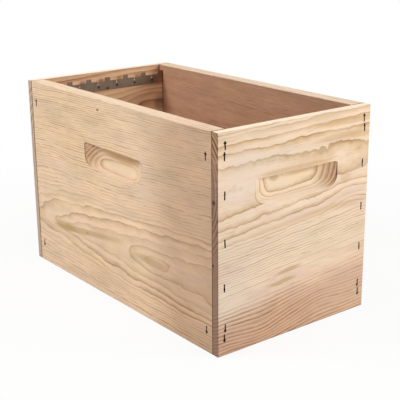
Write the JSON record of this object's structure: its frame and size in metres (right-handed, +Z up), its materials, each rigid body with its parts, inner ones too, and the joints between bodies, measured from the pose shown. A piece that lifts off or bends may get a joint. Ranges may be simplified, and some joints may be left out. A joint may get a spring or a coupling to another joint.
{
  "type": "nuc box",
  "caption": "Open-topped, bottomless nucleus hive body of bare pine with scooped handholds, lapped stapled corners and castellated metal frame rests.",
  "frame": {"origin": "middle of the underside of the box", "axes": "+Z up, +Y along the frames from the front end board to the rear one, +X from the left side board to the right one"},
  "size_m": [0.285, 0.505, 0.315],
  "materials": {
    "end_board_pine": "planed bare pine, pale, broad flame grain above and fine straight grain below",
    "side_board_pine": "planed bare pine, tan, fine grain above and wavy grain below",
    "spacer_steel": "dull galvanised sheet steel",
    "nail_steel": "dull steel nails",
    "staple_steel": "flat steel wire, sunk and dark"
  },
  "bodies": {
    "root": {"front_end_board": "end_board_pine", "rear_end_board": "end_board_pine", "left_side_board": "side_board_pine", "right_side_board": "side_board_pine", "front_frame_spacer": "spacer_steel", "rear_frame_spacer": "spacer_steel", "front_spacer_nails": "nail_steel", "rear_spacer_nails": "nail_steel", "front_left_end_staples": "staple_steel", "front_right_end_staples": "staple_steel", "rear_left_end_staples": "staple_steel", "rear_right_end_staples": "staple_steel", "front_left_side_staples": "staple_steel", "front_right_side_staples": "staple_steel", "rear_left_side_staples": "staple_steel", "rear_right_side_staples": "staple_steel"}
  },
  "joints": []
}
